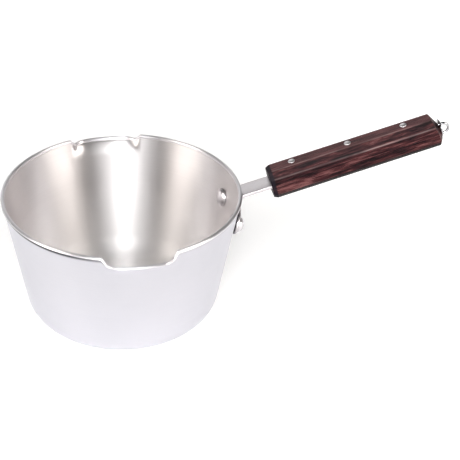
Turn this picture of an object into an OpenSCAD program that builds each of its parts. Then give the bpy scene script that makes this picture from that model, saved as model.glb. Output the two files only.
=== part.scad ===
/* [Pan] */
// Outer diameter over the rim bead
rim_d = 162; // [140:1:200]
// Overall height of the pan
pan_h = 91; // [75:1:120]
// How far the wall leans outwards, from vertical
wall_lean = 10.8; // [6:0.1:14]
// Thickness of the side wall
wall_t = 1.6; // [1.2:0.1:2.5]
// Thickness of the base
base_t = 2.4; // [1.8:0.1:4]
// Outer radius of the corner between base and wall
corner_r = 19; // [12:0.5:24]
// Thickness of the rounded bead round the rim
bead_d = 2.8; // [2.2:0.1:4]

/* [Pour lips] */
// Width of each pour lip, across its mouth
lip_w = 46; // [25:1:50]
// How far a lip reaches past the rim
lip_reach = 4.2; // [2:0.1:6]
// How far a lip's edge drops below the rim
lip_drop = 4.2; // [2:0.1:6]
// Height of wall that is pressed out into a lip
lip_h = 13; // [12:1:25]
// How much narrower each side of a lip is at its foot than at its mouth
lip_side_in = 5; // [2:0.5:8]

/* [Handle bracket] */
// Angle between the handle and the horizontal
handle_tilt = 15; // [10:0.5:20]
// Thickness of the bracket strip
strip_t = 2.4; // [2:0.1:3]
// Width of the tang that carries the grip
tang_w = 14; // [10:0.5:15]
// Height of the curved saddle plate on the pan
saddle_h = 15; // [14:1:20]
// Half of the angle that the saddle plate wraps round the pan
saddle_angle = 20; // [20:1:30]

/* [Grip] */
// Length of the wooden grip
grip_l = 122; // [100:1:130]
// Width of the grip across its flat sides
grip_w = 18; // [17:0.5:22]
// Height of the grip over its top and bottom flats
grip_h = 22.2; // [20:0.2:26]
// Width of the narrow flats along the top and bottom
grip_flat_w = 9.2; // [7:0.2:12]
// Height of the vertical side flats
grip_side_h = 12.6; // [9:0.2:15]

/* [Fasteners] */
// Diameter of the pan rivet heads inside the pan
pan_head_d = 12.5; // [9:0.5:14]
// Diameter of the pan rivet heads outside the pan
pan_tail_d = 10.5; // [9:0.5:12]
// Diameter of the pan rivet shanks
pan_shank_d = 6; // [4:0.5:7]
// Angle of each pan rivet from the handle, round the pan
pan_rivet_angle = 13.3; // [11:0.1:16]
// Distance of the pan rivets below the rim
pan_rivet_drop = 22; // [20:0.5:26]
// Diameter of the grip rivet heads
grip_head_d = 4.8; // [4:0.2:6]
// Diameter of the grip rivet shanks
grip_shank_d = 3.2; // [2.5:0.1:4]
// Distance between neighbouring grip rivets
grip_rivet_pitch = 40; // [30:1:42]

/* [Hanging loop] */
// Diameter of the wire
wire_d = 2; // [1.6:0.1:2.4]
// Height of the loop between the centres of its two legs
loop_h = 7.5; // [7:0.1:8]
// How far the loop stands out of the end plate
loop_reach = 6.2; // [6:0.1:10]
// Diameter of the round end plate
plate_d = 12.2; // [12:0.2:16]
// Thickness of the end plate
plate_t = 1; // [0.6:0.1:1.5]

/* [Hidden] */
$fn = 96;

// Small overshoot, so that a cutter passes right through what it cuts
over = 1;
// Radial gap round a rivet shank or a wire leg in its hole
hole_gap = 0.05;

// Pan: the wall's outside is a straight line from base_line_r at the base plane to rim_line_r
bead_r = bead_d / 2;
bead_proud = 0.8;
rim_line_r = rim_d / 2 - bead_proud + bead_r * tan(wall_lean);
base_line_r = rim_line_r - pan_h * tan(wall_lean);
function wall_r(z) = base_line_r + z * tan(wall_lean);

// Pour lips: a stretch of wall that flares from lip_z0 to lip_reach past the rim at lip_z1
lip_z0 = pan_h - lip_h;
lip_z1 = pan_h - lip_drop;
lip_edge_r = rim_d / 2 + lip_reach;
lip_slope = (lip_edge_r - wall_r(lip_z0)) / (lip_z1 - lip_z0);
lip_side_slope = lip_side_in / (lip_z1 - lip_z0);

// Handle frame: its x axis runs along the grip's centre line, tilted up by handle_tilt,
// from a point that lies above the rivets and just outside the rim
handle_x = rim_d / 2 + 19;
handle_z = pan_h - 3;

// Bracket
rivet_z = pan_h - pan_rivet_drop;
// Gap between the wall and the bracket
wall_gap = 0.1;
// How far the neck stands out from the face of the saddle plate
neck_proud = 0.15;
// The saddle plate reaches a little higher above the rivets than below them
saddle_z = rivet_z + 1.5;
saddle_z0 = saddle_z - saddle_h / 2;
saddle_z1 = saddle_z + saddle_h / 2;
saddle_cut = 5;
// Extra turn of the ring that the saddle plate is cut from
saddle_spare = 4;
bend_turn = 90 - wall_lean - handle_tilt;
bend_r = 4;
// Where the tang's centre line meets the neck's centre line
neck_x0 = wall_r(0) + (wall_gap + neck_proud + strip_t / 2) / cos(wall_lean);
bend_x = (handle_z - handle_x * tan(handle_tilt) + neck_x0 / tan(wall_lean))
    / (1 / tan(wall_lean) - tan(handle_tilt));
bend_z = handle_z + (bend_x - handle_x) * tan(handle_tilt);
// Length of each straight part that the bend's arc replaces
bend_cut = bend_r * tan(bend_turn / 2);
arc_steps = 16;

// Grip, in the handle frame
grip_x0 = 2;
grip_x1 = grip_x0 + grip_l;
end_cut = 0.5;
tang_x1 = grip_x1 - 15;
first_rivet_x = grip_x0 + 18;
grip_rivet_count = 3;
pocket_gap = 0.1;

// Grip's tail: a cone about an axis below the centre line, so that the top is cut back most
tail_l = 5;
tail_drop = 3;
tail_r = 5.5;
tail_slope = (grip_h / 2 + tail_drop - tail_r) / tail_l;
tail_blank_r = grip_h / 2 + tail_drop + 2;
tail_x0 = grip_x1 - (tail_blank_r - tail_r) / tail_slope;

// Hanging loop: its middle lies a little below the grip's centre line
loop_drop = 1;
leg_l = 16;
loop_x = grip_x1 + plate_t + loop_reach - wire_d / 2 - loop_h / 2;

// ---- Helpers ----

// Half section of a pan-shaped solid of revolution: a flat base, a round corner and a leaning wall
module pan_section(base_r, h, r) {
    cx = base_r + r * tan(wall_lean) - r / cos(wall_lean);
    polygon([
        [0, 0],
        [cx, 0],
        [cx + r * cos(wall_lean), r - r * sin(wall_lean)],
        [base_r + h * tan(wall_lean), h],
        [0, h]
    ]);
    intersection() {
        translate([cx, r]) circle(r);
        square([base_r + r, 2 * r]);
    }
}

// Places its children in the handle frame
module in_handle_frame() {
    translate([handle_x, 0, handle_z])
        rotate([0, -handle_tilt, 0])
            children();
}

// Places its children at a pan rivet: x points out of the wall, square to it
module at_pan_rivet(side) {
    rotate([0, 0, side * pan_rivet_angle])
        translate([wall_r(rivet_z), 0, rivet_z])
            rotate([0, wall_lean, 0])
                children();
}

// Places its children at each grip rivet, in the handle frame
module at_grip_rivets() {
    for (i = [0 : grip_rivet_count - 1])
        translate([first_rivet_x + i * grip_rivet_pitch, 0, 0])
            children();
}

// A round rod along x, from x0 to x1
module rod_x(x0, x1, d) {
    translate([x0, 0, 0])
        rotate([0, 90, 0])
            cylinder(d = d, h = x1 - x0);
}

// Point on a circle, and points along an arc from angle a0 to angle a1
function on_circle(centre, r, a) = centre + r * [cos(a), sin(a)];
function arc_points(centre, r, a0, a1) =
    [for (i = [0 : arc_steps]) on_circle(centre, r, a0 + (a1 - a0) * i / arc_steps)];

// A low dome on the z = 0 plane
module dome(d, h) {
    ball_r = (d * d / 4 + h * h) / (2 * h);
    intersection() {
        translate([0, 0, h - ball_r]) sphere(ball_r);
        cylinder(d = d + over, h = h + over);
    }
}

// ---- Pan ----

// Both lips as solids up to top_z: a flared ring, cut to two wedges with leaning sides.
// Inset moves every face inwards.
module lips(inset, top_z) {
    half_w0 = lip_w / 2 - lip_side_in - inset;
    half_w1 = half_w0 + (top_z - lip_z0) * lip_side_slope;
    intersection() {
        rotate_extrude()
            polygon([
                [0, lip_z0],
                [wall_r(lip_z0) - inset, lip_z0],
                [wall_r(lip_z0) - inset + (top_z - lip_z0) * lip_slope, top_z],
                [0, top_z]
            ]);
        rotate([90, 0, 0])
            linear_extrude(2 * rim_d, center = true)
                polygon([
                    [-half_w0, lip_z0],
                    [half_w0, lip_z0],
                    [half_w1, top_z],
                    [-half_w1, top_z]
                ]);
    }
}

// Everything inside the pan's outer surface
module pan_outside() {
    rotate_extrude() pan_section(base_line_r, pan_h, corner_r);
    lips(0, lip_z1);
}

// The pan's hollow, without the lips
module pan_hollow() {
    translate([0, 0, base_t])
        rotate_extrude()
            pan_section(wall_r(base_t) - wall_t / cos(wall_lean), pan_h, corner_r - wall_t);
}

// The slot across the rim that leaves each lip's edge lower than the rim
module lip_dip() {
    translate([-lip_w / 2, -rim_d, lip_z1])
        cube([lip_w, 2 * rim_d, lip_h]);
}

module pan_body() {
    color("gainsboro")
    difference() {
        union() {
            difference() {
                pan_outside();
                pan_hollow();
                translate([0, 0, pan_h - bead_r])
                    cylinder(r = rim_d, h = bead_d);
            }
            rotate_extrude()
                translate([rim_d / 2 - bead_r, pan_h - bead_r])
                    circle(bead_r);
        }
        lips(wall_t, pan_h + over);
        lip_dip();
        for (side = [-1, 1])
            at_pan_rivet(side)
                rod_x(-2 * wall_t, over, pan_shank_d + 2 * hole_gap);
    }
}

// ---- Handle bracket ----

// Plate that hugs the wall, from one rivet past the other, with cut corners
module saddle_plate() {
    gap = wall_gap / cos(wall_lean);
    t = gap + strip_t / cos(wall_lean);
    turn = saddle_angle + saddle_spare;
    half_w = wall_r(rivet_z) * sin(saddle_angle);
    half_h = saddle_h / 2;
    cut_w = half_w - saddle_cut;
    cut_h = half_h - saddle_cut;
    intersection() {
        rotate([0, 0, -turn])
            rotate_extrude(angle = 2 * turn)
                polygon([
                    [wall_r(saddle_z0) + gap, saddle_z0],
                    [wall_r(saddle_z0) + t, saddle_z0],
                    [wall_r(saddle_z1) + t, saddle_z1],
                    [wall_r(saddle_z1) + gap, saddle_z1]
                ]);
        translate([0, 0, saddle_z])
            rotate([90, 0, 90])
                linear_extrude(rim_d)
                    polygon([
                        [-half_w, -cut_h],
                        [-cut_w, -half_h - over],
                        [cut_w, -half_h - over],
                        [half_w, -cut_h],
                        [half_w, cut_h],
                        [cut_w, half_h + over],
                        [-cut_w, half_h + over],
                        [-half_w, cut_h]
                    ]);
    }
}

// Side view of the neck, its bend and the tang, as one strip of even thickness
module strip_side_view() {
    neck = [-sin(wall_lean), -cos(wall_lean)];
    tang = [cos(handle_tilt), sin(handle_tilt)];
    bend = [bend_x, bend_z];
    // Square to each straight part, on its upper or outer side
    neck_side = [neck[1], -neck[0]];
    tang_side = [-tang[1], tang[0]];
    neck_end = bend + neck * (bend_z - rivet_z) / cos(wall_lean);
    tang_end = bend + tang * ((handle_x - bend_x) / cos(handle_tilt) + tang_x1);
    bend_centre = bend + tang * bend_cut - tang_side * bend_r;
    half_t = strip_t / 2;
    polygon(concat(
        [neck_end + neck_side * half_t],
        arc_points(bend_centre, bend_r + half_t, handle_tilt + 90 + bend_turn, handle_tilt + 90),
        [tang_end + tang_side * half_t, tang_end - tang_side * half_t],
        arc_points(bend_centre, bend_r - half_t, handle_tilt + 90, handle_tilt + 90 + bend_turn),
        [neck_end - neck_side * half_t]
    ));
}

module handle_bracket() {
    color("lightgray")
    difference() {
        union() {
            saddle_plate();
            translate([0, tang_w / 2, 0])
                rotate([90, 0, 0])
                    linear_extrude(tang_w)
                        strip_side_view();
        }
        for (side = [-1, 1])
            at_pan_rivet(side)
                rod_x(-over, 2 * strip_t, pan_shank_d + 2 * hole_gap);
        in_handle_frame()
            at_grip_rivets()
                translate([0, 0, -strip_t])
                    cylinder(d = grip_shank_d + 2 * hole_gap, h = 2 * strip_t);
    }
}

// ---- Pan rivets ----

// Each rivet has a large dome inside the pan and a smaller one on the saddle plate
module pan_rivets() {
    inner_h = 2.8;
    outer_h = 3.8;
    inner_gap = 0.4;
    outer_gap = wall_gap + 0.05;
    color("silver")
    for (side = [-1, 1])
        at_pan_rivet(side) {
            rod_x(-wall_t - inner_gap, strip_t + outer_gap, pan_shank_d);
            translate([-wall_t - inner_gap, 0, 0])
                rotate([0, -90, 0])
                    dome(pan_head_d, inner_h);
            translate([strip_t + outer_gap, 0, 0])
                rotate([0, 90, 0])
                    dome(pan_tail_d, outer_h);
        }
}

// ---- Grip ----

// Eight-sided section of the grip
module grip_section() {
    polygon([
        for (sx = [1, -1], p = sx > 0 ? [0, 1, 2, 3] : [3, 2, 1, 0])
            [
                sx * (p == 0 || p == 3 ? grip_flat_w : grip_w) / 2,
                (p < 2 ? -1 : 1) * (p == 0 || p == 3 ? grip_h : grip_side_h) / 2
            ]
    ]);
}

// Everything that the tail's cone leaves of the grip
module tail_envelope() {
    translate([0, 0, -tail_drop])
        rotate([0, 90, 0])
            rotate_extrude()
                polygon([
                    [0, grip_x0 - over],
                    [tail_blank_r, grip_x0 - over],
                    [tail_blank_r, tail_x0],
                    [tail_r, grip_x1],
                    [0, grip_x1]
                ]);
}

// Whole grip, before it is split along its middle and slotted
module grip_blank() {
    difference() {
        intersection() {
            translate([grip_x0, 0, 0])
                rotate([90, 0, 90])
                    linear_extrude(grip_l)
                        grip_section();
            tail_envelope();
        }
        // Broken edges at the pan end
        for (a = [0, 180])
            rotate([a, 0, 0])
                translate([grip_x0, 0, grip_h / 2 - end_cut])
                    rotate([0, -45, 0])
                        translate([-grip_h, -grip_w, 0])
                            cube([2 * grip_h, 2 * grip_w, grip_h]);
    }
}

// One half of the grip: side is 1 for the upper scale and -1 for the lower one
module grip_scale(side) {
    pocket_w = tang_w + 2 * pocket_gap;
    pocket_l = tang_x1 + pocket_gap - grip_x0 + over;
    difference() {
        intersection() {
            grip_blank();
            translate([0, -grip_w, side > 0 ? 0 : -grip_h])
                cube([2 * grip_l, 2 * grip_w, grip_h]);
        }
        translate([grip_x0 - over, -pocket_w / 2, -strip_t / 2])
            cube([pocket_l, pocket_w, strip_t]);
        at_grip_rivets()
            translate([0, 0, -grip_h])
                cylinder(d = grip_shank_d + 2 * hole_gap, h = 2 * grip_h);
        translate([0, 0, side * loop_h / 2 - loop_drop])
            rod_x(grip_x1 - leg_l - over, grip_x1 + over, wire_d + 2 * hole_gap);
    }
}

module grip_upper_scale() {
    color([0.30, 0.17, 0.16])
        in_handle_frame()
            grip_scale(1);
}

module grip_lower_scale() {
    color([0.27, 0.15, 0.14])
        in_handle_frame()
            grip_scale(-1);
}

// ---- Grip rivets ----

module grip_rivets() {
    head_h = 0.9;
    color("whitesmoke")
    in_handle_frame()
        at_grip_rivets() {
            translate([0, 0, -grip_h / 2])
                cylinder(d = grip_shank_d, h = grip_h);
            for (side = [0, 1])
                mirror([0, 0, side])
                    translate([0, 0, grip_h / 2])
                        dome(grip_head_d, head_h);
        }
}

// ---- Hanging loop and its end plate ----

// Places its children on both legs of the loop, in the handle frame
module at_loop_legs() {
    for (side = [-1, 1])
        translate([0, 0, side * loop_h / 2 - loop_drop])
            children();
}

module grip_end_plate() {
    color("silver")
    in_handle_frame()
        difference() {
            rod_x(grip_x1, grip_x1 + plate_t, plate_d);
            at_loop_legs()
                rod_x(grip_x1 - over, grip_x1 + plate_t + over, wire_d + 2 * hole_gap);
        }
}

module hanging_loop() {
    color("silver")
    in_handle_frame() {
        at_loop_legs()
            rod_x(grip_x1 - leg_l, loop_x, wire_d);
        translate([loop_x, 0, -loop_drop])
            rotate([90, 0, 0])
                rotate([0, 0, -90])
                    rotate_extrude(angle = 180)
                        translate([loop_h / 2, 0])
                            circle(d = wire_d);
    }
}

pan_body();
handle_bracket();
pan_rivets();
grip_upper_scale();
grip_lower_scale();
grip_rivets();
grip_end_plate();
hanging_loop();
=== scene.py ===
import math

import bmesh
import bpy
from mathutils import Matrix, Vector
from mathutils.kdtree import KDTree


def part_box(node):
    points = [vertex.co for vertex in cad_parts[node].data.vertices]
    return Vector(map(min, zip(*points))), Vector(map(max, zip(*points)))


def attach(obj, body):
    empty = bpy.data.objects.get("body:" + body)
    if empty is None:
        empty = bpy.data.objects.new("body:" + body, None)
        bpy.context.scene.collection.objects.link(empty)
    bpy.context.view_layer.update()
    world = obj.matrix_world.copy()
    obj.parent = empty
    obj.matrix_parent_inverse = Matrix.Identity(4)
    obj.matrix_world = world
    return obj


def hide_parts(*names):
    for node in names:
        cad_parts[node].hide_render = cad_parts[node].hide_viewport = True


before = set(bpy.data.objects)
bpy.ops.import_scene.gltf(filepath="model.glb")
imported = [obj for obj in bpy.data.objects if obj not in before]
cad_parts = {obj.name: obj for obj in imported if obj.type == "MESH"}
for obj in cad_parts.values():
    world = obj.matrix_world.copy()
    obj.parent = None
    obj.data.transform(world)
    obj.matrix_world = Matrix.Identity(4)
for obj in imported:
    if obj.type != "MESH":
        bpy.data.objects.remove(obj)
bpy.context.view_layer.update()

MM = 0.001

# ---- Sizes, in metres and in the CAD's frame ----

pan_lo, pan_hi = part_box("pan_body")
RIM_R = -pan_lo.x
PAN_H = pan_hi.z
LIP_EDGE_R = pan_hi.y

LEAN = math.radians(10.8)
WALL_T = 1.6 * MM
BASE_T = 2.4 * MM
CORNER_R = 19 * MM
BEAD_R = 1.4 * MM
BEAD_PROUD = 0.8 * MM
# Where the bead's circle leaves the outer wall and meets the inner one, in degrees
BEAD_FROM = -38
BEAD_TO = 232
# Height of wall below the bead over which the painted crease shade fades out
CREASE_W = 2.2 * MM
RIM_LINE_R = RIM_R - BEAD_PROUD + BEAD_R * math.tan(LEAN)
BASE_LINE_R = RIM_LINE_R - PAN_H * math.tan(LEAN)

LIP_HALF = math.radians(18.8)
LIP_DROP_RAMP = math.radians(4.0)
LIP_REACH_RAMP = math.radians(8.5)
LIP_FLARE_H = 14 * MM
LIP_DROP = 4.2 * MM
# The pressed bead stops just short of the CAD's box
LIP_SHY = 0.1 * MM
LIP_REACH = LIP_EDGE_R - RIM_R - LIP_SHY
# How the flare grows from its foot: gently, and the drop a little later than the reach
LIP_REACH_POWER = 1.5
LIP_DROP_POWER = 1.6

TILT = math.radians(15)
HANDLE_OUT = 19 * MM
HANDLE_DOWN = 3 * MM
HANDLE_X = RIM_R + HANDLE_OUT
HANDLE_Z = PAN_H - HANDLE_DOWN
STRIP_T = 2.4 * MM
STRIP_EDGE_R = 0.45 * MM
TANG_W = 14 * MM
WALL_GAP = 0.1 * MM
PAN_RIVET_DROP = 22 * MM
RIVET_Z = PAN_H - PAN_RIVET_DROP
RIVET_TURN = math.radians(13.3)
SADDLE_H = 15 * MM
SADDLE_TURN = math.radians(20)
SADDLE_UP = 1.5 * MM
SADDLE_Z = RIVET_Z + SADDLE_UP
SADDLE_EDGE_R = 0.5 * MM
NECK_PROUD = 0.1 * MM
BEND_R = 4 * MM

GRIP_X0 = 2 * MM
GRIP_X1 = 124 * MM
GRIP_W = 18 * MM
GRIP_H = 22.2 * MM
GRIP_FLAT_W = 9.2 * MM
GRIP_SIDE_H = 12.6 * MM
EDGE_R = 0.9 * MM
SEAM = 0.03 * MM
END_CHAMFER = 2.6 * MM
END_INSET = 0.9 * MM
TAIL_L = 5 * MM
TAIL_DROP = 3 * MM
TAIL_R = 5.5 * MM
TANG_SHORT = 15 * MM
TANG_X1 = GRIP_X1 - TANG_SHORT
POCKET_GAP = 0.1 * MM
FIRST_RIVET = 18 * MM
RIVET_PITCH = 40 * MM
RIVET_X = [GRIP_X0 + FIRST_RIVET + RIVET_PITCH * i for i in range(3)]

PAN_HEAD_R, PAN_HEAD_H = 6.25 * MM, 2.9 * MM
PAN_TAIL_R, PAN_TAIL_H = 5.25 * MM, 3.8 * MM
PAN_SHANK_R = 3 * MM
PAN_HEAD_SEAT = 0.3 * MM
PAN_TAIL_SEAT = 0.02 * MM
GRIP_HEAD_R, GRIP_HEAD_H = 2.4 * MM, 0.9 * MM
GRIP_SHANK_R = 1.6 * MM
GRIP_HEAD_SUNK = 0.05 * MM

WIRE_R = 1 * MM
LOOP_H = 7.5 * MM
LOOP_DROP = 1 * MM
PLATE_R = 6.1 * MM
PLATE_T = 1 * MM
PLATE_BEVEL = 0.2 * MM
LOOP_REACH = 6.2 * MM
LOOP_X = GRIP_X1 + PLATE_T + LOOP_REACH - WIRE_R - LOOP_H / 2
LEG_L = 16 * MM

# The handle's own frame: its x axis is the grip's centre line
HANDLE_FRAME = Matrix.Translation((HANDLE_X, 0, HANDLE_Z)) @ Matrix.Rotation(-TILT, 4, "Y")


def wall_r(z):
    """Radius of the wall's outside at a height."""
    return BASE_LINE_R + z * math.tan(LEAN)


def smooth(t):
    """Eases from 0 to 1, and stays there outside that range."""
    t = max(0.0, min(1.0, t))
    return t * t * (3 - 2 * t)


# ---- How finely the curves are divided ----

CORNER_STEPS = 20
WALL_STEPS = 34
BEAD_STEPS = 26
BASE_STEPS = 8
LIP_RAMP_STEPS = 20
PAN_RIVET_SEGMENTS = 48
GRIP_RIVET_SEGMENTS = 32
PLATE_SEGMENTS = 64
SADDLE_END_STEPS = 20
SADDLE_SIDE_STEPS = 24
SADDLE_FACE_STEPS = 8
NECK_STEPS = 12
BEND_STEPS = 16
TANG_STEPS = 32
GRIP_EDGE_STEPS = 6
TAIL_STEPS = 40
LEG_STEPS = 12
LOOP_STEPS = 32
WIRE_STEPS = 20

# ---- Mesh helpers ----

def arc(cx, cy, r, a0, a1, n):
    """Points along an arc, angles in degrees."""
    points = []
    for i in range(n + 1):
        a = math.radians(a0 + (a1 - a0) * i / n)
        points.append((cx + r * math.cos(a), cy + r * math.sin(a)))
    return points


def make_object(name, verts, faces, sharp=35, matrix=None):
    mesh = bpy.data.meshes.new(name)
    mesh.from_pydata([tuple(v) for v in verts], [], faces)
    bm = bmesh.new()
    bm.from_mesh(mesh)
    bmesh.ops.remove_doubles(bm, verts=bm.verts, dist=1e-7)
    bmesh.ops.recalc_face_normals(bm, faces=bm.faces)
    bm.to_mesh(mesh)
    bm.free()
    for p in mesh.polygons:
        p.use_smooth = True
    mesh.set_sharp_from_angle(angle=math.radians(sharp))
    obj = bpy.data.objects.new(name, mesh)
    bpy.context.scene.collection.objects.link(obj)
    if matrix is not None:
        obj.matrix_world = matrix
    return obj


def loft(rings, caps=True):
    """Vertices and faces of a skin through rings of points, all with the same count."""
    n = len(rings[0])
    verts = [p for ring in rings for p in ring]
    faces = []
    for i in range(len(rings) - 1):
        for k in range(n):
            a, b = i * n + k, i * n + (k + 1) % n
            faces.append((a, b, b + n, a + n))
    if caps:
        faces.append(tuple(range(n - 1, -1, -1)))
        faces.append(tuple(range((len(rings) - 1) * n, len(rings) * n)))
    return verts, faces


def revolve(profile, steps, axis="X"):
    """Closed solid from a profile of (along, radius) whose ends lie on the axis."""
    rings = []
    for along, r in profile:
        ring = []
        for i in range(steps):
            a = 2 * math.pi * i / steps
            c, s = r * math.cos(a), r * math.sin(a)
            ring.append((along, c, s) if axis == "X" else (c, s, along))
        rings.append(ring)
    return loft(rings, caps=False)


def boolean(obj, cutter, operation):
    """Joins or cuts with the cutter, which is used up, and stops if nothing is left."""
    mod = obj.modifiers.new("join", "BOOLEAN")
    mod.object = cutter
    mod.operation = operation
    mod.solver = "EXACT"
    bpy.context.view_layer.update()
    graph = bpy.context.evaluated_depsgraph_get()
    mesh = bpy.data.meshes.new_from_object(obj.evaluated_get(graph))
    obj.modifiers.clear()
    if not mesh.vertices:
        raise RuntimeError(f"{obj.name}: nothing is left after the {operation.lower()}")
    obj.data = mesh
    bpy.data.objects.remove(cutter)
    return obj


def finish_mesh(obj, sharp=35):
    for p in obj.data.polygons:
        p.use_smooth = True
    obj.data.set_sharp_from_angle(angle=math.radians(sharp))
    return obj


def place(obj, node, material):
    """Gives a piece its material and puts it in the place of a CAD node."""
    obj.data.materials.clear()
    obj.data.materials.append(material)
    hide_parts(node)
    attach(obj, "root")
    return obj


# ---- Materials ----

class Nodes:
    """Short way to write a node tree."""

    def __init__(self, name):
        self.material = bpy.data.materials.new(name)
        self.material.use_nodes = True
        self.tree = self.material.node_tree
        self.shader = self.tree.nodes["Principled BSDF"]

    def add(self, kind, settings=None, **inputs):
        node = self.tree.nodes.new("ShaderNode" + kind)
        for key, value in (settings or {}).items():
            setattr(node, key, value)
        for key, value in inputs.items():
            self.put(node, key.replace("_", " "), value)
        return node

    def put(self, node, key, value):
        socket = node.inputs[int(key[1:])] if key[0] == "#" else node.inputs[key]
        if isinstance(value, bpy.types.NodeSocket):
            self.tree.links.new(value, socket)
        else:
            socket.default_value = value

    def math(self, operation, a, b=None):
        node = self.add("Math", {"operation": operation})
        self.put(node, "#0", a)
        if b is not None:
            self.put(node, "#1", b)
        return node.outputs[0]

    def ramp(self, value, stops):
        node = self.add("ValToRGB", Fac=value)
        elements = node.color_ramp.elements
        while len(elements) < len(stops):
            elements.new(0.5)
        for element, (position, colour) in zip(elements, stops):
            element.position = position
            element.color = (*colour, 1)
        return node.outputs["Color"]

    def noise(self, vector, scale, detail=4, rough=0.55):
        node = self.add("TexNoise", Vector=vector, Scale=scale, Detail=detail, Roughness=rough)
        return node.outputs["Fac"]

    def grey(self, value, lo, hi, out_lo, out_hi):
        node = self.add("MapRange")
        keys = ("Value", "From Min", "From Max", "To Min", "To Max")
        for key, v in zip(keys, (value, lo, hi, out_lo, out_hi)):
            self.put(node, key, v)
        return node.outputs[0]

    def scaled(self, vector, scale):
        node = self.add("Mapping", Vector=vector)
        node.inputs["Scale"].default_value = scale
        return node.outputs[0]

    def coords(self):
        return self.add("TexCoord").outputs["Object"]

    def bump(self, height, strength, distance):
        node = self.add("Bump", Height=height, Strength=strength, Distance=distance)
        self.put(self.shader, "Normal", node.outputs[0])

    def mix(self, fac, a, b):
        node = self.add("Mix", {"data_type": "RGBA"})
        for i, v in ((0, fac), (6, a), (7, b)):
            if isinstance(v, bpy.types.NodeSocket):
                self.tree.links.new(v, node.inputs[i])
            else:
                node.inputs[i].default_value = v
        return node.outputs[2]


# The outside is painted darker and a little bluer than the inside, a painted shade that holds down the bright
# floor it reflects
OUTER_DARK = (0.60, 0.60, 0.645)
OUTER_LIGHT = (0.675, 0.67, 0.715)
BEAD_HIGHLIGHT_TONE = (0.90, 0.88, 0.90)
# The inside is painted brighter towards its floor as painted light, and is less sharp there
FLOOR_LIGHT_TONE = (0.96, 0.94, 0.935)
CREASE_SHADE_TONE = (0.04, 0.04, 0.05)


def spun_metal(name, dark, light, rough_lo, rough_hi, lines, anisotropy, bump):
    """Metal with fine lines that run round the upright axis, large soft stains and a few scuffs."""
    n = Nodes(name)
    where = n.coords()
    xyz = n.add("SeparateXYZ", Vector=where)
    flat = n.add("CombineXYZ", X=xyz.outputs[0], Y=xyz.outputs[1])
    radius = n.add("VectorMath", {"operation": "LENGTH"})
    n.put(radius, "#0", flat.outputs[0])
    unit = n.add("VectorMath", {"operation": "NORMALIZE"})
    n.put(unit, "#0", flat.outputs[0])
    turn = n.add("SeparateXYZ", Vector=unit.outputs[0])
    along = n.math("MULTIPLY", n.math("ADD", radius.outputs["Value"], xyz.outputs[2]), lines)
    spun = n.add("CombineXYZ", X=turn.outputs[0], Y=turn.outputs[1], Z=along)
    fine = n.noise(spun.outputs[0], 1.0, 3, 0.5)
    broad = n.noise(n.scaled(where, (14, 14, 9)), 1.0, 3)
    scuff = n.noise(n.scaled(where, (60, 60, 40)), 1.0, 6, 0.7)
    tone = n.math("ADD", n.math("MULTIPLY", fine, 0.35), n.math("MULTIPLY", broad, 0.65))
    inside = n.add("Attribute", {"attribute_name": "inside"}).outputs["Fac"]
    outer = n.ramp(tone, [(0.3, OUTER_DARK), (0.7, OUTER_LIGHT)])
    # Painted light brightens the inside towards its floor; the same mask makes it rougher there
    low = n.math("MULTIPLY", inside, n.grey(xyz.outputs[2], 0.010, 0.058, 1.0, 0.0))
    inner = n.mix(low, n.ramp(tone, [(0.3, dark), (0.7, light)]), (*FLOOR_LIGHT_TONE, 1))
    colour = n.mix(inside, outer, inner)
    # The bead's colour is lightened as a painted highlight, and painted shade lies in the crease below it on
    # the side away from the handle
    colour = n.mix(n.add("Attribute", {"attribute_name": "bead"}).outputs["Fac"], colour, (*BEAD_HIGHLIGHT_TONE, 1))
    crease_shade = n.add("Attribute", {"attribute_name": "crease_shade"}).outputs["Fac"]
    crease_shade = n.math("MULTIPLY", crease_shade, n.grey(xyz.outputs[0], -0.045, -0.005, 1.0, 0.10))
    colour = n.mix(crease_shade, colour, (*CREASE_SHADE_TONE, 1))
    n.put(n.shader, "Base Color", colour)
    rough = n.math("ADD", n.grey(fine, 0.3, 0.7, rough_lo, rough_hi), n.grey(scuff, 0.45, 0.75, 0.0, 0.07))
    n.put(n.shader, "Roughness", n.math("ADD", rough, n.math("MULTIPLY", low, 0.10)))
    n.shader.inputs["Metallic"].default_value = 1.0
    n.put(n.shader, "Anisotropic", n.math("MULTIPLY", inside, anisotropy))
    n.shader.inputs["Anisotropic Rotation"].default_value = 0.25
    tangent = n.add("Tangent", {"direction_type": "RADIAL", "axis": "Z"})
    n.put(n.shader, "Tangent", tangent.outputs[0])
    n.bump(n.math("ADD", fine, n.math("MULTIPLY", scuff, 0.5)), bump, 0.00006)
    return n.material


def drawn_metal(name, dark, light, rough_lo, rough_hi, stretch, bump, painted_gap_shade=False):
    """Metal with fine lines along its own x axis, and painted shade in the gap close to the pan's wall when
    that is asked for.
    """
    n = Nodes(name)
    where = n.coords()
    fine = n.noise(n.scaled(where, stretch), 1.0, 6, 0.65)
    broad = n.noise(n.scaled(where, (90, 90, 90)), 1.0, 3)
    tone = n.math("ADD", n.math("MULTIPLY", fine, 0.5), n.math("MULTIPLY", broad, 0.5))
    colour = n.ramp(tone, [(0.3, dark), (0.7, light)])
    if painted_gap_shade:
        # Painted shade: the bracket darkens nearly to black where it sits close to the pan's wall
        gap_shade = n.add("Attribute", {"attribute_name": "gap_shade"}).outputs["Fac"]
        gap_shade = n.math("MULTIPLY", gap_shade, n.grey(broad, 0.3, 0.6, 0.8, 1.0))
        colour = n.mix(gap_shade, colour, (0.02, 0.019, 0.022, 1))
    n.put(n.shader, "Base Color", colour)
    n.put(n.shader, "Roughness", n.grey(fine, 0.3, 0.7, rough_lo, rough_hi))
    n.shader.inputs["Metallic"].default_value = 1.0
    n.bump(fine, bump, 0.00004)
    return n.material


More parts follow.
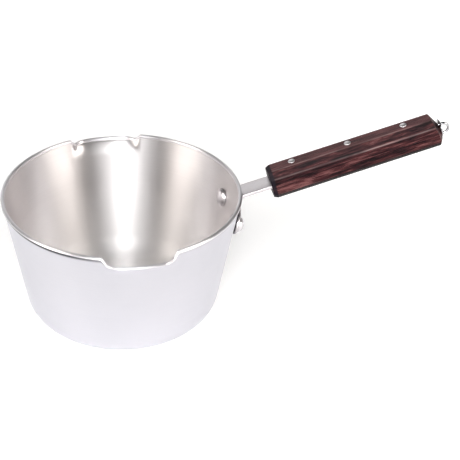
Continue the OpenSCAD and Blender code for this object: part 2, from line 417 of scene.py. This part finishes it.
def dark_wood(name, offset):
    """Oiled dark hardwood with grain along its own x axis and open pores; ridges lightened by wear and a
    painted highlight, a painted sheen on the top face, and painted shade on faces that point down and at the
    pan end.
    """
    n = Nodes(name)
    where = n.add("Mapping", Vector=n.coords())
    where.inputs["Location"].default_value = offset
    where = where.outputs[0]
    warp = n.noise(n.scaled(where, (14, 60, 60)), 1.0, 3)
    bent = n.add("VectorMath", {"operation": "MULTIPLY_ADD"})
    n.put(bent, "#0", n.add("CombineXYZ", X=0.0, Y=warp, Z=warp).outputs[0])
    n.put(bent, "#1", (0, 0.006, 0.006))
    n.put(bent, "#2", where)
    grain = n.noise(n.scaled(bent.outputs[0], (55, 620, 620)), 1.0, 8, 0.65)
    bands = n.noise(n.scaled(bent.outputs[0], (22, 150, 150)), 1.0, 4)
    pores = n.noise(n.scaled(where, (180, 2300, 2300)), 1.0, 2)
    tone = n.math("ADD", n.math("MULTIPLY", grain, 0.65), n.math("MULTIPLY", bands, 0.35))
    colour = n.ramp(tone, [
        (0.43, (0.005, 0.0012, 0.0020)),
        (0.49, (0.023, 0.0060, 0.0080)),
        (0.54, (0.046, 0.0120, 0.0130)),
        (0.61, (0.135, 0.0530, 0.0530)),
    ])
    pore = n.grey(pores, 0.56, 0.66, 0.0, 0.7)
    colour = n.mix(pore, colour, (0.012, 0.005, 0.006, 1))
    ridge = n.add("Attribute", {"attribute_name": "ridge"}).outputs["Fac"]
    # Ridges are lightened, partly as wear and partly as a painted highlight
    ridge_wear_and_highlight = n.math("MULTIPLY", ridge, n.grey(bands, 0.4, 0.6, 0.15, 0.75))
    colour = n.mix(ridge_wear_and_highlight, colour, (0.26, 0.175, 0.17, 1))
    upward = n.add("Attribute", {"attribute_name": "upward"}).outputs["Fac"]
    # Painted sheen: faces that point straight up are lightened
    top_sheen = n.math("MULTIPLY", n.grey(upward, 0.85, 1.0, 0.0, 1.0), n.grey(grain, 0.42, 0.6, 0.35, 0.9))
    colour = n.mix(top_sheen, colour, (0.120, 0.055, 0.058, 1))
    # Painted shade: faces that point down are darkened nearly to black
    underside_shade = n.grey(upward, -0.35, -0.05, 0.92, 0.0)
    colour = n.mix(underside_shade, colour, (0.004, 0.003, 0.003, 1))
    # Painted shade: the chamfered pan end goes nearly black
    place_x = n.add("SeparateXYZ", Vector=n.coords()).outputs[0]
    end_shade = n.grey(place_x, GRIP_X0 + END_CHAMFER, GRIP_X0 + END_CHAMFER + 0.6 * MM, 0.88, 0.0)
    colour = n.mix(end_shade, colour, (0.006, 0.005, 0.009, 1))
    n.put(n.shader, "Base Color", colour)
    n.put(n.shader, "Roughness", n.grey(grain, 0.35, 0.65, 0.34, 0.52))
    n.put(n.shader, "Specular IOR Level", n.grey(upward, -0.3, 0.3, 0.02, 0.16))
    n.bump(n.math("SUBTRACT", grain, n.math("MULTIPLY", pore, 0.8)), 0.5, 0.0003)
    return n.material


pan_metal = spun_metal(
    "Satin_Aluminium", (0.69, 0.665, 0.665), (0.79, 0.765, 0.765),
    rough_lo=0.38, rough_hi=0.44, lines=2600, anisotropy=0.88, bump=0.08,
)
bracket_metal = drawn_metal(
    "Bracket_Aluminium", (0.62, 0.585, 0.60), (0.80, 0.765, 0.78),
    rough_lo=0.28, rough_hi=0.40, stretch=(60, 2200, 2200), bump=0.4, painted_gap_shade=True,
)
rivet_metal = drawn_metal(
    "Rivet_Aluminium", (0.58, 0.56, 0.58), (0.80, 0.78, 0.80),
    rough_lo=0.28, rough_hi=0.38, stretch=(500, 500, 500), bump=0.35,
)
small_rivet_metal = drawn_metal(
    "Grip_Rivet_Steel", (0.74, 0.72, 0.73), (0.93, 0.91, 0.92),
    rough_lo=0.34, rough_hi=0.44, stretch=(700, 700, 700), bump=0.3,
)
plate_metal = drawn_metal(
    "End_Plate_Steel", (0.36, 0.35, 0.37), (0.58, 0.57, 0.59),
    rough_lo=0.16, rough_hi=0.28, stretch=(900, 900, 900), bump=0.3,
)
wire_metal = drawn_metal(
    "Loop_Chrome", (0.10, 0.10, 0.11), (0.86, 0.86, 0.88),
    rough_lo=0.06, rough_hi=0.14, stretch=(500, 260, 260), bump=0.2,
)

# ---- Pan ----


def pan_profile():
    """Closed half section (r, z): outside from the centre, round the bead, and back inside.

    Also says how many points come before the bead, and how many before the inside.
    """
    tan_lean, cos_lean, sin_lean = math.tan(LEAN), math.cos(LEAN), math.sin(LEAN)
    lean_deg = math.degrees(LEAN)
    points = [(0, 0)]
    cx = BASE_LINE_R + CORNER_R * tan_lean - CORNER_R / cos_lean
    for i in range(1, BASE_STEPS + 1):
        points.append((cx * i / BASE_STEPS, 0))
    points += arc(cx, CORNER_R, CORNER_R, -90, -lean_deg, CORNER_STEPS)[1:]
    bead_z = PAN_H - BEAD_R
    bead_x = RIM_R - BEAD_R
    # The wall's line ends just below the point where the bead's circle starts
    z_top = bead_z - BEAD_R * 0.75
    z_start = points[-1][1]
    for i in range(1, WALL_STEPS + 1):
        z = z_start + (z_top - CREASE_W - z_start) * i / WALL_STEPS
        points.append((wall_r(z), z))
    points.append((wall_r(z_top - CREASE_W / 3), z_top - CREASE_W / 3))
    points.append((wall_r(z_top), z_top))
    outside = len(points)
    points += arc(bead_x, bead_z, BEAD_R, BEAD_FROM, BEAD_TO, BEAD_STEPS)
    beaded = len(points)
    inner_line = BASE_LINE_R + BASE_T * tan_lean - WALL_T / cos_lean
    inner_r = CORNER_R - WALL_T
    icx = inner_line + inner_r * tan_lean - inner_r / cos_lean

    def inner_wall(z):
        return inner_line + (z - BASE_T) * tan_lean

    z_low = BASE_T + inner_r - inner_r * sin_lean
    for i in range(WALL_STEPS):
        z = z_top + (z_low - z_top) * i / WALL_STEPS
        points.append((inner_wall(z), z))
    points += arc(icx, BASE_T + inner_r, inner_r, -lean_deg, -90, CORNER_STEPS)
    for i in reversed(range(BASE_STEPS)):
        points.append((icx * i / BASE_STEPS, BASE_T))
    return points, outside, beaded


def pan_angles():
    """Angles round the pan, closer together at the ends of the lips."""
    angles = [math.radians(i) for i in range(360)]
    for centre in (90, 270):
        for side in (-1, 1):
            edge = math.radians(centre) + side * LIP_HALF
            # From a little outside the ramp to a little past its end
            for k in range(-12, LIP_RAMP_STEPS + 9):
                angles.append(edge - side * LIP_DROP_RAMP * k / LIP_RAMP_STEPS)
    angles = sorted(a % (2 * math.pi) for a in angles)
    kept = [angles[0]]
    for a in angles[1:]:
        if a - kept[-1] > math.radians(0.05):
            kept.append(a)
    return kept


def lip_weights(a):
    """How far a point at this angle is pressed out and down into a lip, each from 0 to 1."""
    turns = [(a - centre + math.pi) % (2 * math.pi) - math.pi for centre in (math.pi / 2, 3 * math.pi / 2)]
    off = min(abs(turn) for turn in turns)
    return smooth((LIP_HALF - off) / LIP_REACH_RAMP), smooth((LIP_HALF - off) / LIP_DROP_RAMP)


def make_pan():
    """The pan as a turned shape whose rim is pressed into two lips, with its inside, bead and painted crease
    shade marked.
    """
    profile, outside, beaded = pan_profile()
    rings = []
    for r, z in profile:
        ring = []
        t = (z - (PAN_H - LIP_FLARE_H)) / (LIP_FLARE_H - BEAD_R)
        t = max(0.0, min(1.0, t))
        for a in ANGLES:
            press_out, press_down = WEIGHTS[a]
            # The flare carries the bead out and down whole
            out = press_out * LIP_REACH * t ** LIP_REACH_POWER
            down = press_down * LIP_DROP * t ** LIP_DROP_POWER
            radius = r + out if r > RIM_R / 2 else r
            ring.append((radius * math.cos(a), radius * math.sin(a), z - down))
        rings.append(ring)
    verts, faces = loft(rings, caps=False)
    obj = make_object("Pan_Body", verts, faces, sharp=50)
    for name, start, end in (
        ("inside", outside, len(rings)),
        ("bead", outside, beaded),
        ("crease_shade", outside - 2, outside + 4),
    ):
        values = [1.0 if start <= i < end else 0.0 for i in range(len(rings)) for _ in rings[i]]
        store_values(obj, name, verts, values)
    return obj


def store_values(obj, name, verts, values):
    """Saves a value at each vertex, taken from the nearest given point because merging renumbers the mesh."""
    tree = KDTree(len(verts))
    for i, v in enumerate(verts):
        tree.insert(v, i)
    tree.balance()
    attribute = obj.data.attributes.new(name, "FLOAT", "POINT")
    for i, v in enumerate(obj.data.vertices):
        attribute.data[i].value = values[tree.find(v.co)[1]]


ANGLES = pan_angles()
WEIGHTS = {a: lip_weights(a) for a in ANGLES}
place(make_pan(), "pan_body", pan_metal)

# ---- Handle bracket ----


def rounded_rect(w, h, r, n=4):
    """Outline of a rectangle with rounded corners, centred on the origin."""
    points = []
    for sx, sy, start in ((1, 1, 0), (-1, 1, 90), (-1, -1, 180), (1, -1, 270)):
        points += arc(sx * (w / 2 - r), sy * (h / 2 - r), r, start, start + 90, n)
    return points


def saddle_ring(inset, depth):
    """Outline of the saddle plate, moved inwards by inset, at a depth out from the wall."""
    r = SADDLE_H / 2 - inset
    half = wall_r(RIVET_Z) * SADDLE_TURN - SADDLE_H / 2
    line = [-half + 2 * half * i / SADDLE_SIDE_STEPS for i in range(SADDLE_SIDE_STEPS)]
    outline = [(side, -r) for side in line]
    outline += arc(half, 0, r, -90, 90, SADDLE_END_STEPS)[:-1]
    outline += [(-side, r) for side in line]
    outline += arc(-half, 0, r, 90, 270, SADDLE_END_STEPS)[:-1]
    ring = []
    for side, up in outline:
        a = side / wall_r(RIVET_Z)
        radius = wall_r(SADDLE_Z + up) + (WALL_GAP + depth) / math.cos(LEAN)
        ring.append((radius * math.cos(a), radius * math.sin(a), SADDLE_Z + up))
    return ring


def make_saddle():
    """The plate with round ends that wraps the pan's wall."""
    edge = SADDLE_EDGE_R
    # The faces are filled by rings that shrink from the rounded edge to the middle line
    across = SADDLE_H / 2 - edge
    count = SADDLE_FACE_STEPS
    rings = [saddle_ring(edge + across * (1 - i / count), 0) for i in range(count)]
    turns = [math.radians(a) for a in (0, 30, 60, 90)]
    rings += [saddle_ring(edge - edge * math.sin(a), edge - edge * math.cos(a)) for a in turns]
    rings += [saddle_ring(edge - edge * math.cos(a), STRIP_T - edge + edge * math.sin(a)) for a in turns]
    rings += [saddle_ring(edge + across * i / count, STRIP_T) for i in range(1, count + 1)]
    verts, faces = loft(rings, caps=False)
    return make_object("Handle_Bracket", verts, faces)


def strip_path():
    """Centre line of the neck, bend and tang as (point, unit normal) in the x-z plane."""
    neck_dir = Vector((-math.sin(LEAN), -math.cos(LEAN)))
    tang_dir = Vector((math.cos(TILT), math.sin(TILT)))
    tang_side = Vector((-tang_dir.y, tang_dir.x))
    neck_x0 = wall_r(0) + (WALL_GAP + NECK_PROUD + STRIP_T / 2) / math.cos(LEAN)
    cot = 1 / math.tan(LEAN)
    bend_x = (HANDLE_Z - HANDLE_X * math.tan(TILT) + neck_x0 * cot) / (cot - math.tan(TILT))
    bend_z = HANDLE_Z + (bend_x - HANDLE_X) * math.tan(TILT)
    bend = Vector((bend_x, bend_z))
    turn = math.pi / 2 - LEAN - TILT
    cut = BEND_R * math.tan(turn / 2)
    centre = bend + tang_dir * cut - tang_side * BEND_R
    path = []
    end = bend + neck_dir * (bend_z - RIVET_Z) / math.cos(LEAN)
    neck_normal = Vector((neck_dir.y, -neck_dir.x))
    start = bend + neck_dir * cut
    for i in range(NECK_STEPS):
        path.append((end.lerp(start, i / NECK_STEPS), neck_normal))
    for i in range(BEND_STEPS + 1):
        a = TILT + math.pi / 2 + turn * (1 - i / BEND_STEPS)
        normal = Vector((math.cos(a), math.sin(a)))
        path.append((centre + normal * BEND_R, normal))
    far = bend + tang_dir * ((HANDLE_X - bend_x) / math.cos(TILT) + TANG_X1)
    near = bend + tang_dir * cut
    for i in range(1, TANG_STEPS + 1):
        path.append((near.lerp(far, i / TANG_STEPS), tang_side))
    return path


def make_strip():
    """The neck, bend and tang in one strip, joined to the saddle plate later."""
    section = rounded_rect(TANG_W, STRIP_T, STRIP_EDGE_R)
    rings = []
    for point, normal in strip_path():
        rings.append([(point.x + normal.x * h, w, point.y + normal.y * h) for w, h in section])
    verts, faces = loft(rings)
    return make_object("strip", verts, faces)


def store_gap_shade(obj):
    """Saves 1 at the bracket's points that are close to the pan's wall, fading to 0 further out, as the mask
    for painted gap shade.
    """
    attribute = obj.data.attributes.new("gap_shade", "FLOAT", "POINT")
    for i, v in enumerate(obj.data.vertices):
        gap = math.hypot(v.co.x, v.co.y) - wall_r(v.co.z)
        attribute.data[i].value = 1 - smooth((gap - 0.6 * STRIP_T) / (0.3 * STRIP_T))


bracket = finish_mesh(boolean(make_saddle(), make_strip(), "UNION"))
store_gap_shade(bracket)
place(bracket, "handle_bracket", bracket_metal)

# ---- Rivets ----


def dome_profile(r, h, lift, sign, n=14):
    """A low dome with a small rolled edge, from its rim to its crown, as (along, radius)."""
    rolled = 0.12
    points = [(lift, r * 0.94), (lift + sign * rolled * h, r)]
    for i in range(1, n + 1):
        a = i / n * math.pi / 2
        points.append((lift + sign * h * (rolled + (1 - rolled) * math.sin(a)), r * math.cos(a)))
    return points


def double_rivet(inner_x, inner_r, inner_h, outer_x, outer_r, outer_h, shank_r):
    """A rivet's profile from its inner head, along the shank, to its outer head, as (along, radius)."""
    inner = dome_profile(inner_r, inner_h, inner_x, -1)[::-1]
    outer = dome_profile(outer_r, outer_h, outer_x, 1)
    return inner + [(inner_x, shank_r), (outer_x, shank_r)] + outer


def joined(name, parts, sharp=35, matrix=None):
    """One object from several lists of vertices and faces, each with its own matrix."""
    verts, faces = [], []
    for part_matrix, (part_verts, part_faces) in parts:
        start = len(verts)
        verts += [part_matrix @ Vector(v) for v in part_verts]
        faces += [tuple(start + i for i in f) for f in part_faces]
    return make_object(name, verts, faces, sharp, matrix)


def pan_rivet_matrix(side):
    """Places a rivet square to the wall, on one side of the handle."""
    return (
        Matrix.Rotation(side * RIVET_TURN, 4, "Z")
        @ Matrix.Translation((wall_r(RIVET_Z), 0, RIVET_Z))
        @ Matrix.Rotation(LEAN, 4, "Y")
    )


pan_rivet = revolve(double_rivet(
    -WALL_T - PAN_HEAD_SEAT, PAN_HEAD_R, PAN_HEAD_H,
    STRIP_T + WALL_GAP + PAN_TAIL_SEAT, PAN_TAIL_R, PAN_TAIL_H, PAN_SHANK_R,
), PAN_RIVET_SEGMENTS)
pan_rivets = joined("Pan_Rivets", [(pan_rivet_matrix(side), pan_rivet) for side in (-1, 1)])
place(pan_rivets, "pan_rivets", rivet_metal)

head_x = GRIP_H / 2 - GRIP_HEAD_SUNK
grip_rivet = revolve(double_rivet(
    -head_x, GRIP_HEAD_R, GRIP_HEAD_H,
    head_x, GRIP_HEAD_R, GRIP_HEAD_H, GRIP_SHANK_R,
), GRIP_RIVET_SEGMENTS, axis="Z")
grip_rivets = joined(
    "Grip_Rivets", [(Matrix.Translation((x, 0, 0)), grip_rivet) for x in RIVET_X], matrix=HANDLE_FRAME
)
place(grip_rivets, "grip_rivets", small_rivet_metal)

# ---- Grip ----


def half_section(side):
    """Upper or lower half of the eight-sided section, as ((y, w), ridge) with softened corners."""
    corners = [
        (GRIP_W / 2, 0), (GRIP_W / 2, GRIP_SIDE_H / 2), (GRIP_FLAT_W / 2, GRIP_H / 2),
        (-GRIP_FLAT_W / 2, GRIP_H / 2), (-GRIP_W / 2, GRIP_SIDE_H / 2), (-GRIP_W / 2, 0),
    ]
    up_side = (0.3, 0.6, 0.8)
    points = []
    for i, corner in enumerate(corners):
        c = Vector(corner)
        if i in (0, len(corners) - 1):
            c.y = SEAM
            points.append((c.copy(), 0.0))
            if i == 0:
                points += [(Vector((c.x, SEAM + GRIP_SIDE_H / 2 * t)), 0.0) for t in up_side]
            continue
        before = (Vector(corners[i - 1]) - c).normalized()
        after = (Vector(corners[i + 1]) - c).normalized()
        for k in range(GRIP_EDGE_STEPS + 1):
            t = k / GRIP_EDGE_STEPS
            # A quadratic curve between the points where the rounding starts and ends
            p = (c + before * EDGE_R) * (1 - t) ** 2 + c * 2 * t * (1 - t) + (c + after * EDGE_R) * t ** 2
            points.append((p, 1 - abs(2 * t - 1)))
        if i < len(corners) - 2:
            following = Vector(corners[i + 1])
            for t in (0.25, 0.5, 0.75):
                points.append((c.lerp(following, t), 0.0))
        else:
            points += [(Vector((c.x, SEAM + GRIP_SIDE_H / 2 * t)), 0.0) for t in reversed(up_side)]
    bottom = [(Vector((-GRIP_W / 2 + GRIP_W * t, SEAM)), 0.0) for t in (0.1, 0.3, 0.5, 0.7, 0.9)]
    return [((p.x, side * p.y), ridge) for p, ridge in points + bottom]


def grip_stations():
    """(place, inset) pairs along the grip, close together at its chamfered pan end and at its tail."""
    tail, step = 8 * MM, 3 * MM
    stations = [(GRIP_X0 + END_CHAMFER * t, END_INSET * (1 - t)) for t in (0, 0.25, 0.5, 0.75, 1)]
    x = GRIP_X0 + END_CHAMFER + 1 * MM
    while x < GRIP_X1 - tail:
        stations.append((x, 0.0))
        x += step
    stations += [(GRIP_X1 - tail + tail * i / TAIL_STEPS, 0.0) for i in range(TAIL_STEPS + 1)]
    return stations


def tail_point(y, w, limit, side):
    """Where a point of the outline goes when the tail's cone has the radius limit."""
    seam_up = side * SEAM + TAIL_DROP
    reach = math.sqrt(max(0.0, limit ** 2 - seam_up ** 2))
    if abs(w) <= SEAM:
        return y * min(1.0, reach / (GRIP_W / 2)), w
    if math.hypot(y, w + TAIL_DROP) <= limit:
        return y, w
    # Angles from the cone's axis, so that the outline's ends slide along the seam and the rest follow
    at = math.atan2(w + TAIL_DROP, abs(y))
    corner = math.atan2(seam_up, GRIP_W / 2)
    meets = max(corner, math.asin(min(1.0, seam_up / limit)))
    crown = side * math.pi / 2
    at = crown + (at - crown) * (meets - crown) / (corner - crown)
    return math.copysign(limit * math.cos(at), y), limit * math.sin(at) - TAIL_DROP


def grip_scale(name, side):
    """One half of the grip with the tang's pocket cut out, the upper half for side 1 and the lower for -1."""
    section = half_section(side)
    slope = (GRIP_H / 2 + TAIL_DROP - TAIL_R) / TAIL_L
    rings = []
    ridges = []
    for x, inset in grip_stations():
        limit = TAIL_R + (GRIP_X1 - x) * slope
        ring = []
        for (y, w), ridge in section:
            scale = 1 - inset / (GRIP_W / 2)
            y = y * scale
            w = w * scale if abs(w) > SEAM else w
            cut = math.hypot(y, w + TAIL_DROP) - limit
            y, w = tail_point(y, w, limit, side)
            if 0 < cut < EDGE_R:
                ridge = max(ridge, 0.8 * (1 - cut / EDGE_R))
            ring.append((x, y, w))
            ridges.append(ridge)
        rings.append(ring)
    verts, faces = loft(rings)
    mesh_object = make_object(name, verts, faces, sharp=28)
    store_values(mesh_object, "ridge", verts, ridges)
    pocket = box_part(TANG_X1 + 2 * POCKET_GAP, TANG_W + 2 * POCKET_GAP, STRIP_T)
    cutter = joined("pocket", [(Matrix.Translation((TANG_X1 / 2, 0, 0)), pocket)])
    boolean(mesh_object, cutter, "DIFFERENCE")
    finish_mesh(mesh_object, 28)
    store_upward(mesh_object)
    mesh_object.matrix_world = HANDLE_FRAME
    return mesh_object


def box_part(lx, ly, lz):
    verts = [(sx * lx / 2, sy * ly / 2, sz * lz / 2) for sx in (-1, 1) for sy in (-1, 1) for sz in (-1, 1)]
    faces = [(0, 1, 3, 2), (4, 6, 7, 5), (0, 4, 5, 1), (2, 3, 7, 6), (0, 2, 6, 4), (1, 5, 7, 3)]
    return verts, faces


def store_upward(obj):
    """Saves how far each face of the grip points up, from -1 to 1, before it is tilted."""
    attribute = obj.data.attributes.new("upward", "FLOAT", "CORNER")
    for p in obj.data.polygons:
        for i in p.loop_indices:
            attribute.data[i].value = p.normal.z


upper = grip_scale("Grip_Upper_Scale", 1)
place(upper, "grip_upper_scale", dark_wood("Dark_Wood_Upper", (0, 0, 0)))
lower = grip_scale("Grip_Lower_Scale", -1)
place(lower, "grip_lower_scale", dark_wood("Dark_Wood_Lower", (0.31, 0.17, 0.23)))

# ---- End plate and hanging loop ----

plate_profile = [
    (GRIP_X1, 0),
    (GRIP_X1, PLATE_R - PLATE_BEVEL),
    (GRIP_X1 + PLATE_BEVEL, PLATE_R),
    (GRIP_X1 + PLATE_T - PLATE_BEVEL, PLATE_R),
    (GRIP_X1 + PLATE_T, PLATE_R - PLATE_BEVEL),
    (GRIP_X1 + PLATE_T, 0),
]
verts, faces = revolve(plate_profile, PLATE_SEGMENTS)
plate = make_object("Grip_End_Plate", verts, faces, matrix=HANDLE_FRAME)
place(plate, "grip_end_plate", plate_metal)


def make_loop():
    """Round wire: a leg in each half of the grip and a half circle beyond the plate."""
    half = LOOP_H / 2
    leg_x = GRIP_X1 - LEG_L
    straight = LOOP_X - leg_x
    line = [(leg_x + straight * i / LEG_STEPS, half) for i in range(LEG_STEPS)]
    line += arc(LOOP_X, 0, half, 90, -90, LOOP_STEPS)
    line += [(LOOP_X - straight * i / LEG_STEPS, -half) for i in range(1, LEG_STEPS + 1)]
    rings = []
    for i, (x, z) in enumerate(line):
        ahead, behind = line[min(i + 1, len(line) - 1)], line[max(i - 1, 0)]
        along = Vector((ahead[0] - behind[0], 0, ahead[1] - behind[1])).normalized()
        sideways = Vector((0, 1, 0))
        across = along.cross(sideways)
        ring = []
        for k in range(WIRE_STEPS):
            a = 2 * math.pi * k / WIRE_STEPS
            out = WIRE_R * (math.cos(a) * across + math.sin(a) * sideways)
            ring.append(tuple(Vector((x, 0, z - LOOP_DROP)) + out))
        rings.append(ring)
    verts, faces = loft(rings)
    return make_object("Hanging_Loop", verts, faces, matrix=HANDLE_FRAME)


place(make_loop(), "hanging_loop", wire_metal)

# ---- Stage ----

# Middle of the floor in front of the pan, where the front lights fall
WELL_LIT = (-0.05, -0.40, 0)
WARM = (1, 0.95, 0.9)


def make_floor():
    size = 6
    mesh = bpy.data.meshes.new("Floor")
    corners = [(-size, -size, 0), (size, -size, 0), (size, size, 0), (-size, size, 0)]
    mesh.from_pydata(corners, [], [(0, 1, 2, 3)])
    floor = bpy.data.objects.new("Floor", mesh)
    bpy.context.scene.collection.objects.link(floor)
    n = Nodes("Pale_Floor")
    n.shader.inputs["Base Color"].default_value = (0.85, 0.85, 0.85, 1)
    n.shader.inputs["Roughness"].default_value = 0.9
    n.shader.inputs["Specular IOR Level"].default_value = 0.1
    n.shader.inputs["Emission Color"].default_value = (1, 1, 1, 1)
    # A little glow, growing away from the well lit front, keeps the sheet an even white
    distance = n.add("VectorMath", {"operation": "DISTANCE"})
    n.put(distance, "#0", n.coords())
    n.put(distance, "#1", WELL_LIT)
    n.put(n.shader, "Emission Strength", n.grey(distance.outputs["Value"], 0.28, 0.80, 0.12, 0.66))
    mesh.materials.append(n.material)
    return floor


def soft_light(name, place_at, target, size, power, colour=(1, 1, 1)):
    light = bpy.data.lights.new(name, "AREA")
    light.shape = "RECTANGLE"
    light.size, light.size_y = size
    light.energy = power
    light.color = colour
    obj = bpy.data.objects.new(name, light)
    bpy.context.scene.collection.objects.link(obj)
    obj.location = place_at
    obj.rotation_mode = "QUATERNION"
    obj.rotation_quaternion = (Vector(target) - Vector(place_at)).to_track_quat("-Z", "Y")
    return obj


make_floor()
aim = (0.04, 0, 0.05)
soft_light("Front_Strip", (-0.31, -1.48, 0.95), aim, (0.44, 1.1), 15)
soft_light("Front_Fill", (-0.37, -1.80, 1.05), aim, (1.9, 1.0), 26)
soft_light("Left_Softbox", (-1.64, -0.36, 0.90), aim, (0.95, 1.3), 20, WARM)
soft_light("Right_Softbox", (1.40, -0.94, 0.90), aim, (0.95, 1.3), 20, WARM)
soft_light("Back_Panel", (-0.08, 1.7, 1.15), aim, (1.2, 1.1), 4)
world = bpy.data.worlds.new("Studio")
bpy.context.scene.world = world
world.use_nodes = True
# White near the horizon, like a sheet that curves up all round, and dim overhead
sky = world.node_tree.nodes
height = sky.new("ShaderNodeSeparateXYZ")
fall = sky.new("ShaderNodeMapRange")
for key, value in (("From Min", 0.06), ("From Max", 0.26), ("To Min", 0.95), ("To Max", 0.06)):
    fall.inputs[key].default_value = value
world.node_tree.links.new(sky.new("ShaderNodeTexCoord").outputs["Generated"], height.inputs[0])
world.node_tree.links.new(height.outputs[2], fall.inputs["Value"])
world.node_tree.links.new(fall.outputs[0], sky["Background"].inputs["Strength"])
sky["Background"].inputs["Color"].default_value = (1, 1, 1, 1)

# ---- Camera ----

# Seen from the front left and above. AIM_RIGHT and AIM_UP slide the camera without turning it
AZIMUTH = math.radians(-12.5)
ELEVATION = math.radians(32.65)
ROLL = math.radians(1.456)
DISTANCE = 1.2
AIM = Vector((0, 0, 0.040))
AIM_RIGHT = 73.22 * MM
AIM_UP = 19.56 * MM
LENS = 136.84
SENSOR = 36

back = Vector((
    math.sin(AZIMUTH) * math.cos(ELEVATION),
    -math.cos(AZIMUTH) * math.cos(ELEVATION),
    math.sin(ELEVATION),
))
right = Vector((math.cos(AZIMUTH), math.sin(AZIMUTH), 0))
up = back.cross(right)
cam_right = math.cos(ROLL) * right + math.sin(ROLL) * up
cam_up = -math.sin(ROLL) * right + math.cos(ROLL) * up
camera = bpy.data.objects.new("Camera", bpy.data.cameras.new("Camera"))
bpy.context.scene.collection.objects.link(camera)
camera.data.lens = LENS
camera.data.sensor_width = SENSOR
camera.data.clip_start, camera.data.clip_end = 0.05, 30
where = AIM + AIM_RIGHT * right + AIM_UP * up + DISTANCE * back
camera.matrix_world = Matrix((
    (cam_right.x, cam_up.x, back.x, where.x),
    (cam_right.y, cam_up.y, back.y, where.y),
    (cam_right.z, cam_up.z, back.z, where.z),
    (0, 0, 0, 1),
))
bpy.context.scene.camera = camera
bpy.context.scene.view_settings.view_transform = "Standard"
